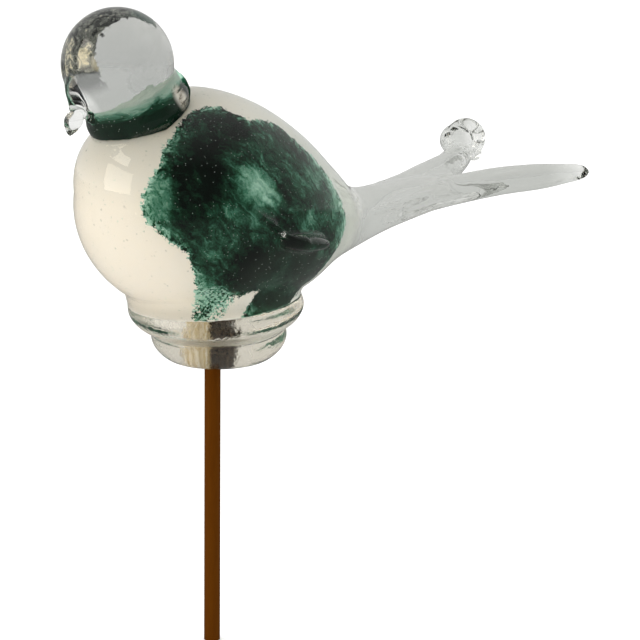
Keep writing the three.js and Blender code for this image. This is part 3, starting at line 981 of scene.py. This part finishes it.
# Painted light: the frit's colour for rays that light the opal, pale so that the cream under the collar comes
# out brighter.
NECK_PALE_FOR_OPAL_LIGHT = "#c9d8cd"
neck_green, nodes, shader = new_material("green_frit_in_the_neck")
place = place_in_millimetres(nodes)
from_head = add_node(nodes, "ShaderNodeVectorMath", SUBTRACT, i0=place, i1=HEAD_MIDDLE).outputs[0]
height = add_node(nodes, "ShaderNodeVectorMath", DOT_PRODUCT, i0=from_head, i1=HEAD_AXIS).outputs["Value"]
pulled = add_node(
    nodes, "ShaderNodeMapping", STRETCHED, Vector=place,
    Rotation=(0, HEAD_LEAN, 0), Scale=(3, 3, 1)).outputs[0]
swirl = add_node(
    nodes, "ShaderNodeTexNoise", Vector=pulled, Scale=1 / SWIRL_WIDTH, Detail=7, Roughness=0.65,
    Distortion=0.9).outputs["Fac"]
swirl_level = add_node(nodes, "ShaderNodeMath", MULTIPLY_ADD, i0=swirl, i1=0.9, i2=-0.45).outputs[0]
upwards = add_node(
    nodes, "ShaderNodeMapRange", Value=height, From_Min=NECK_LEVELS[0], From_Max=NECK_LEVELS[1]).outputs[0]
level = add_node(nodes, "ShaderNodeMath", ADD, i0=upwards, i1=swirl_level).outputs[0]
ramp = add_node(nodes, "ShaderNodeValToRGB", Fac=level)
set_tones(ramp, NECK_TONES)

# %% The bare place, and painted light through the frit
bare = spot(nodes, place, (-24.9, -15.2, 208.9), (2.6, 3.4, 4.4), turn=-30, soft=(1.5, 0.5))
streaks = add_node(
    nodes, "ShaderNodeMapRange", SMOOTH_STEP, Value=swirl, From_Min=0.4, From_Max=0.5).outputs[0]
bare_streaks = add_node(nodes, "ShaderNodeMath", MULTIPLY, i0=bare, i1=streaks).outputs[0]
pale_share = add_node(nodes, "ShaderNodeMapRange", Value=swirl, From_Min=0.42, From_Max=0.55).outputs[0]
bare_tone = add_node(
    nodes, "ShaderNodeMix", OF_COLOURS, Factor=pale_share, i6="#9a8872", i7="#fbf4e8").outputs[2]
neck_colour = ramp.outputs["Color"]
pale_specks = specks(nodes, place, spacing=1.1, radius=0.14, chance=0.4, strength=0.7)
# The last mix is painted light: pale frit for the rays that light the opal.
for share, colour in [
        (bare_streaks, bare_tone), (pale_specks, "#d5e0d8"), (ray_kinds(nodes)["lights"], NECK_PALE_FOR_OPAL_LIGHT)]:
    neck_colour = add_node(
        nodes, "ShaderNodeMix", OF_COLOURS, Factor=share, i6=neck_colour, i7=colour).outputs[2]
set_inputs(nodes, shader, Base_Color=neck_colour, Roughness=0.5, Specular_IOR_Level=0.0)
neck_frit.data.materials.append(neck_green)
print("neck frit has", len(NECK_TONES), "tones")

# %% [markdown]
# ### Painted reflection
# The veil is a painted reflection of the dark room: a thin grey film with dark folds in it. Warped
# noise makes the folds, and the film is see-through between them. It ends on each side along a ragged
# line, and down the face only a thin grey haze of it goes on. Two cream patches in the folds are painted
# highlights.

# %% Where the veil ends
CLEAR_SIDE = Vector((-0.152, 0.953, 0.259))
VEIL_UP = Vector((0.13, 0.17, 0.975))
FOLD_WIDTH = 6.5
FINE_FOLD_WIDTH = 3.2
SIDE_LEVELS = (0.69, 0.66)
FACE_LEVELS = (-5.8, -4.0)
RIM_LEVELS = (4.0, 10.0)
HAZE = 0.3
reflection_film, nodes, shader = new_material("painted_reflection_film")
place = place_in_millimetres(nodes)
from_head = add_node(nodes, "ShaderNodeVectorMath", SUBTRACT, i0=place, i1=HEAD_MIDDLE).outputs[0]
one_side = add_node(nodes, "ShaderNodeVectorMath", {"operation": "ABSOLUTE"}, i0=from_head).outputs[0]
head_parts = add_node(nodes, "ShaderNodeSeparateXYZ", Vector=from_head)
side_parts = add_node(nodes, "ShaderNodeSeparateXYZ", Vector=one_side)
folded = add_node(
    nodes, "ShaderNodeCombineXYZ",
    X=head_parts.outputs[0], Y=side_parts.outputs[1], Z=head_parts.outputs[2]).outputs[0]
to_clear, level, to_facing = [
    add_node(nodes, "ShaderNodeVectorMath", DOT_PRODUCT, i0=vector, i1=direction).outputs["Value"]
    for vector, direction in [
        (folded, CLEAR_SIDE / VEIL_RADIUS), (from_head, VEIL_UP), (from_head, VEIL_FACING)]
]
folds, fine = [
    add_node(
        nodes, "ShaderNodeTexNoise", Vector=place, Scale=1 / width, Detail=detail, Roughness=0.6,
        Distortion=distortion).outputs["Fac"]
    for width, detail, distortion in [(FOLD_WIDTH, 6, 2.2), (FINE_FOLD_WIDTH, 3, 2.5)]
]
edges = []
for value, weight, (start, end) in [(to_clear, 0.26, SIDE_LEVELS), (level, 5.0, FACE_LEVELS)]:
    wander = add_node(nodes, "ShaderNodeMath", MULTIPLY_ADD, i0=folds, i1=weight, i2=-weight / 2).outputs[0]
    ragged_value = add_node(nodes, "ShaderNodeMath", ADD, i0=value, i1=wander).outputs[0]
    edge = add_node(
        nodes, "ShaderNodeMapRange", SMOOTH_STEP, Value=ragged_value, From_Min=start, From_Max=end)
    edges.append(edge.outputs[0])
off_side, above_face = edges
haze = add_node(
    nodes, "ShaderNodeMapRange", SMOOTH_STEP, Value=to_facing,
    From_Min=RIM_LEVELS[0], From_Max=RIM_LEVELS[1], To_Min=0.0, To_Max=HAZE).outputs[0]
print("veil folds", FOLD_WIDTH, "mm wide")

# %% Folds in the veil
# The film is painted reflection, and its palest cream tone is painted highlight.
FILM_TONES = [
    (0.36, "#0d0f0b"), (0.43, "#343832"), (0.465, "#9a9d95"), (0.49, "#2a2d27"), (0.53, "#85887f"),
    (0.55, "#c3c4ba"), (0.57, "#40433c"), (0.61, "#b5b6ab"), (0.68, "#fff3d2"),
]
FILM_OFFSET = -0.175
crown = spot(nodes, place, (-38, -3, 240), (18, 16, 6), soft=(1.2, 0.5))
teal = spot(nodes, place, (-33, -7, 236), (9, 7, 4), soft=(1.2, 0.5))
# Painted highlights: two cream patches in the folds at the front of the face.
first_light = spot(nodes, place, (-59, -6, 224.5), (3, 2.6, 3.8), soft=(1.3, 0.4))
second_light = spot(nodes, place, (-56, -12, 222.8), (3, 3.4, 3.4), soft=(1.3, 0.4))
light_caught = add_node(nodes, "ShaderNodeMath", ADD, i0=first_light, i1=second_light).outputs[0]
film_tone = folds
for value, weight in [(fine, 0.35), (crown, -0.05), (light_caught, 0.12)]:
    film_tone = add_node(nodes, "ShaderNodeMath", MULTIPLY_ADD, i0=value, i1=weight, i2=film_tone).outputs[0]
film_tone = add_node(nodes, "ShaderNodeMath", ADD, i0=film_tone, i1=FILM_OFFSET).outputs[0]
film_ramp = add_node(nodes, "ShaderNodeValToRGB", Fac=film_tone)
set_tones(film_ramp, FILM_TONES)
film = film_ramp.outputs["Color"]
for value, colour in [(teal, "#5f7f72"), (light_caught, "#fff3d2")]:
    share = add_node(nodes, "ShaderNodeMath", MULTIPLY, i0=value, i1=0.6).outputs[0]
    film = add_node(nodes, "ShaderNodeMix", OF_COLOURS, Factor=share, i6=film, i7=colour).outputs[2]
film = add_node(nodes, "ShaderNodeMix", OF_COLOURS, Factor=above_face, i6="#55575a", i7=film).outputs[2]
cover = add_node(nodes, "ShaderNodeMath", MULTIPLY_ADD, i0=fine, i1=0.9, i2=0.4).outputs[0]
face_cover = add_node(nodes, "ShaderNodeMix", Factor=above_face, i2=haze, i3=cover).outputs[0]
veil_cover = add_node(nodes, "ShaderNodeMath", MULTIPLY, i0=off_side, i1=face_cover).outputs[0]
set_inputs(nodes, shader, Base_Color=film, Alpha=veil_cover, Roughness=0.6, Specular_IOR_Level=0.0)
veil.data.materials.append(reflection_film)
print("veil has", len(FILM_TONES), "tones")

# %% [markdown]
# ### Cork with a painted lit side
# The plug is brown cork, which is dull and has a fine dark grain. Its left half, turned to the window, is
# painted pale as painted light, in upright streaks of painted highlight. The painted light ends along a
# line across the plug, which wanders a little with the grain.

# %% Plug
# Painted light: the plug's side turned to the window is painted pale, and this direction points away from it.
AWAY_FROM_LIT_SIDE = Vector((0.8, -0.6, 0))
CORK_GRAIN = 0.9
HIGHLIGHT_STREAK_WIDTH = 1.1
STREAK_STRETCH = 14
cork, nodes, shader = new_material("brown_cork")
place = place_in_millimetres(nodes)
side = add_node(nodes, "ShaderNodeVectorMath", DOT_PRODUCT, i0=place, i1=AWAY_FROM_LIT_SIDE).outputs["Value"]
upright = add_node(
    nodes, "ShaderNodeMapping", STRETCHED, Vector=place, Scale=(1, 1, STREAK_STRETCH)).outputs[0]
grain = add_node(
    nodes, "ShaderNodeTexNoise", Vector=place, Scale=1 / CORK_GRAIN, Detail=4, Roughness=0.7).outputs["Fac"]
highlight_streaks = add_node(
    nodes, "ShaderNodeTexNoise", Vector=upright, Scale=1 / HIGHLIGHT_STREAK_WIDTH, Detail=2, Roughness=0.5).outputs["Fac"]
dark_cork, painted_light_streaks = [
    add_node(
        nodes, "ShaderNodeMix", OF_COLOURS, i6=first, i7=second,
        Factor=add_node(
            nodes, "ShaderNodeMapRange", Value=value, From_Min=0.4, From_Max=end).outputs[0]).outputs[2]
    for value, end, first, second in [
        (grain, 0.62, "#1d150e", "#5d4c3a"), (highlight_streaks, 0.6, "#dccba4", "#fffaf0")]
]
# Painted light and highlight: where this stays low, on the left, the cork is painted pale in upright streaks.
lit_side_edge = add_node(nodes, "ShaderNodeMath", MULTIPLY_ADD, i0=grain, i1=1.5, i2=side).outputs[0]
painted_light_share = add_node(nodes, "ShaderNodeMapRange", SMOOTH_STEP, Value=lit_side_edge, From_Min=1.2, From_Max=0.2).outputs[0]
plug_colour = add_node(
    nodes, "ShaderNodeMix", OF_COLOURS, Factor=painted_light_share, i6=dark_cork, i7=painted_light_streaks).outputs[2]
set_inputs(nodes, shader, Base_Color=plug_colour, Roughness=0.85)
print("cork grain", CORK_GRAIN, "mm")

# %% [markdown]
# ### Brown paint
# The rod is steel with one flat coat of brown paint. Such paint has hardly any shine, and its coat is a
# little uneven along the rod, which a noise stretched along it gives.

# %% Rod
COAT_WIDTH = 1.5
COAT_STRETCH = 10
paint, nodes, shader = new_material("brown_painted_steel")
place = place_in_millimetres(nodes)
brushed = add_node(
    nodes, "ShaderNodeMapping", STRETCHED, Vector=place, Scale=(1, 1, COAT_STRETCH)).outputs[0]
coat = add_node(
    nodes, "ShaderNodeTexNoise", Vector=brushed, Scale=1 / COAT_WIDTH, Detail=3, Roughness=0.6).outputs["Fac"]
rod_colour = add_node(nodes, "ShaderNodeMix", OF_COLOURS, Factor=coat, i6="#432000", i7="#4f2a01").outputs[2]
set_inputs(nodes, shader, Base_Color=rod_colour, Roughness=0.8, Specular_IOR_Level=0.03)
for node, material in [("stake_plug", cork), ("stake_rod", paint)]:
    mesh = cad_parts[node].data
    mesh.materials.clear()
    mesh.materials.append(material)
print("rod and plug painted")

# %% [markdown]
# ## Tying the pieces to the frame
# Nothing moves on this stake, so every piece rides the root. The skin stands for the CAD solid of the
# bird, and the colours lie inside it.

# %% Tie the pieces to the frame
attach(skin, "root")
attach(core, "root")
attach(neck_frit, "root")
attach(veil, "root")
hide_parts("glass_bird")
print("pieces", [piece.name for piece in (skin, core, neck_frit, veil)])

# %% [markdown]
# ## Floor, light and camera
# Clear glass shows what stands round it. A pale floor and a soft pale room give it grey edges, and a
# window at the left, with a smaller one above it, stands in the breast as a bright image. The floor
# fades out far from the bird, so that no horizon shows in the glass.

# %% Floor
FLOOR_RADIUS = 2.6
FLOOR_FADES = 1.0
FLOOR_SEEN = "#fafafa"
FLOOR_THROUGH_GLASS = "#d8d8d8"
FLOOR_MIRRORED = "#6a6a6a"
FLOOR_GLOW = 0.2
nothing_selected()
bpy.ops.mesh.primitive_circle_add(
    vertices=96, radius=FLOOR_RADIUS, fill_type="NGON", location=(0, 0, -0.5 * MM))
floor = bpy.context.object
floor.name = "floor"
bpy.ops.object.transform_apply(location=True, rotation=True, scale=True)
floor_paint, nodes, shader = new_material("pale_floor")
kinds = ray_kinds(nodes)
floor_colour = add_node(
    nodes, "ShaderNodeMix", OF_COLOURS,
    Factor=kinds["through"], i6=FLOOR_SEEN, i7=FLOOR_THROUGH_GLASS).outputs[2]
floor_colour = add_node(
    nodes, "ShaderNodeMix", OF_COLOURS,
    Factor=kinds["mirrored"], i6=floor_colour, i7=FLOOR_MIRRORED).outputs[2]
glow = add_node(nodes, "ShaderNodeMath", MULTIPLY, i0=kinds["lights"], i1=FLOOR_GLOW).outputs[0]
place = add_node(nodes, "ShaderNodeTexCoord").outputs["Object"]
from_middle = add_node(nodes, "ShaderNodeVectorMath", LENGTH, i0=place).outputs["Value"]
still_there = add_node(
    nodes, "ShaderNodeMapRange", SMOOTH_STEP, Value=from_middle,
    From_Min=FLOOR_RADIUS, From_Max=FLOOR_FADES).outputs[0]
set_inputs(
    nodes, shader, Base_Color=floor_colour, Emission_Strength=glow, Alpha=still_there, Roughness=0.9,
    Specular_IOR_Level=0.0, Emission_Color=(1, 1, 1, 1))
floor.data.materials.append(floor_paint)
print("floor fades out", FLOOR_RADIUS, "m from the rod")

# %% Room light
ROOM_FRONT = 1.07
ROOM_BACK = 1.05
MIRRORED_FRONT = 0.1
MIRRORED_BACK = 0.65
SKYLIGHT = 0.5
TO_BACK = (0.5, 0.66, 0.2)
world = bpy.data.worlds.new("soft_room")
bpy.context.scene.world = world
world.use_nodes = True
nodes = world.node_tree
room = nodes.nodes["Background"]
sky = add_node(nodes, "ShaderNodeTexCoord").outputs["Generated"]
facing = add_node(nodes, "ShaderNodeVectorMath", DOT_PRODUCT, i0=sky, i1=TO_BACK).outputs["Value"]
seen, mirrored = [
    add_node(
        nodes, "ShaderNodeMapRange", Value=facing,
        From_Min=start, From_Max=end, To_Min=front, To_Max=back).outputs[0]
    for start, end, front, back in [
        (-0.7, 0.4, ROOM_FRONT, ROOM_BACK), (-0.4, 0.6, MIRRORED_FRONT, MIRRORED_BACK)]
]
kinds = ray_kinds(nodes)
strength = add_node(nodes, "ShaderNodeMix", Factor=kinds["mirrored"], i2=seen, i3=mirrored).outputs[0]
height = add_node(nodes, "ShaderNodeSeparateXYZ", Vector=sky).outputs[2]
overhead = add_node(
    nodes, "ShaderNodeMapRange", SMOOTH_STEP, Value=height,
    From_Min=0.1, From_Max=0.8, To_Min=0.0, To_Max=SKYLIGHT).outputs[0]
strength = add_node(
    nodes, "ShaderNodeMath", MULTIPLY_ADD, i0=overhead, i1=kinds["lights"], i2=strength).outputs[0]
set_inputs(nodes, room, Color="#fdfdfc", Strength=strength)
print("room light from", ROOM_FRONT, "in front to", ROOM_BACK, "behind")

# %% Windows
WINDOW_LIGHT = "#fff8ea"
LIT_PLACE = Vector((0, 0, 170)) * MM


def lamp(name, azimuth, elevation, distance, wide, high, watts):
    """A soft rectangular light that faces the bird from that direction, in degrees and metres."""
    data = bpy.data.lights.new(name, "AREA")
    data.shape = "RECTANGLE"
    data.size = wide
    data.size_y = high
    data.energy = watts
    data.color = linear(WINDOW_LIGHT)[:3]
    light = bpy.data.objects.new(name, data)
    bpy.context.scene.collection.objects.link(light)
    turn, rise = math.radians(azimuth), math.radians(elevation)
    away = Vector((math.cos(rise) * math.cos(turn), math.cos(rise) * math.sin(turn), math.sin(rise)))
    light.location = LIT_PLACE + distance * away
    light.rotation_euler = (-away).to_track_quat("-Z", "Y").to_euler()
    return light


windows = [
    lamp("window", azimuth=170, elevation=9, distance=0.5, wide=0.34, high=0.23, watts=0.66),
    lamp("window_top", azimuth=160, elevation=34, distance=1.0, wide=0.5, high=0.22, watts=1.3),
]
print("windows", [[round(value, 3) for value in light.location] for light in windows])

# %% [markdown]
# ## Camera
# The camera stands a little over a metre in front of the bird's near side and looks slightly down, as in
# the photograph. It could be aimed with a constraint, but a matrix built from its three directions also
# holds its small roll. Glass needs many bounces, because a ray goes in and out of it several times.

# %% Camera
TURN = math.radians(37)
LIFT = math.radians(13)
ROLL = math.radians(0.6)
DISTANCE = 1100
PICTURE_WIDTH = 240
SENSOR = 36
TARGET_RIGHT = 40.5
TARGET_UP = 119.44
view = Vector((math.sin(TURN) * math.cos(LIFT), math.cos(TURN) * math.cos(LIFT), -math.sin(LIFT)))
level_right = Vector((math.cos(TURN), -math.sin(TURN), 0))
level_up = level_right.cross(view)
right = math.cos(ROLL) * level_right + math.sin(ROLL) * level_up
up = -math.sin(ROLL) * level_right + math.cos(ROLL) * level_up
target = (TARGET_RIGHT * right + TARGET_UP * up) * MM

camera_data = bpy.data.cameras.new("camera")
camera_data.sensor_width = SENSOR
camera_data.lens = DISTANCE / PICTURE_WIDTH * SENSOR
camera = bpy.data.objects.new("camera", camera_data)
bpy.context.scene.collection.objects.link(camera)
place = target - DISTANCE * MM * view
camera.matrix_world = Matrix(
    [[right[row], up[row], -view[row], place[row]] for row in range(3)] + [[0, 0, 0, 1]])
bpy.context.scene.camera = camera
bpy.context.scene.view_settings.view_transform = "Standard"
bpy.context.scene.cycles.max_bounces = 64
bpy.context.scene.cycles.glossy_bounces = 40
bpy.context.scene.cycles.transmission_bounces = 40
print("camera at", [round(value, 3) for value in camera.location])
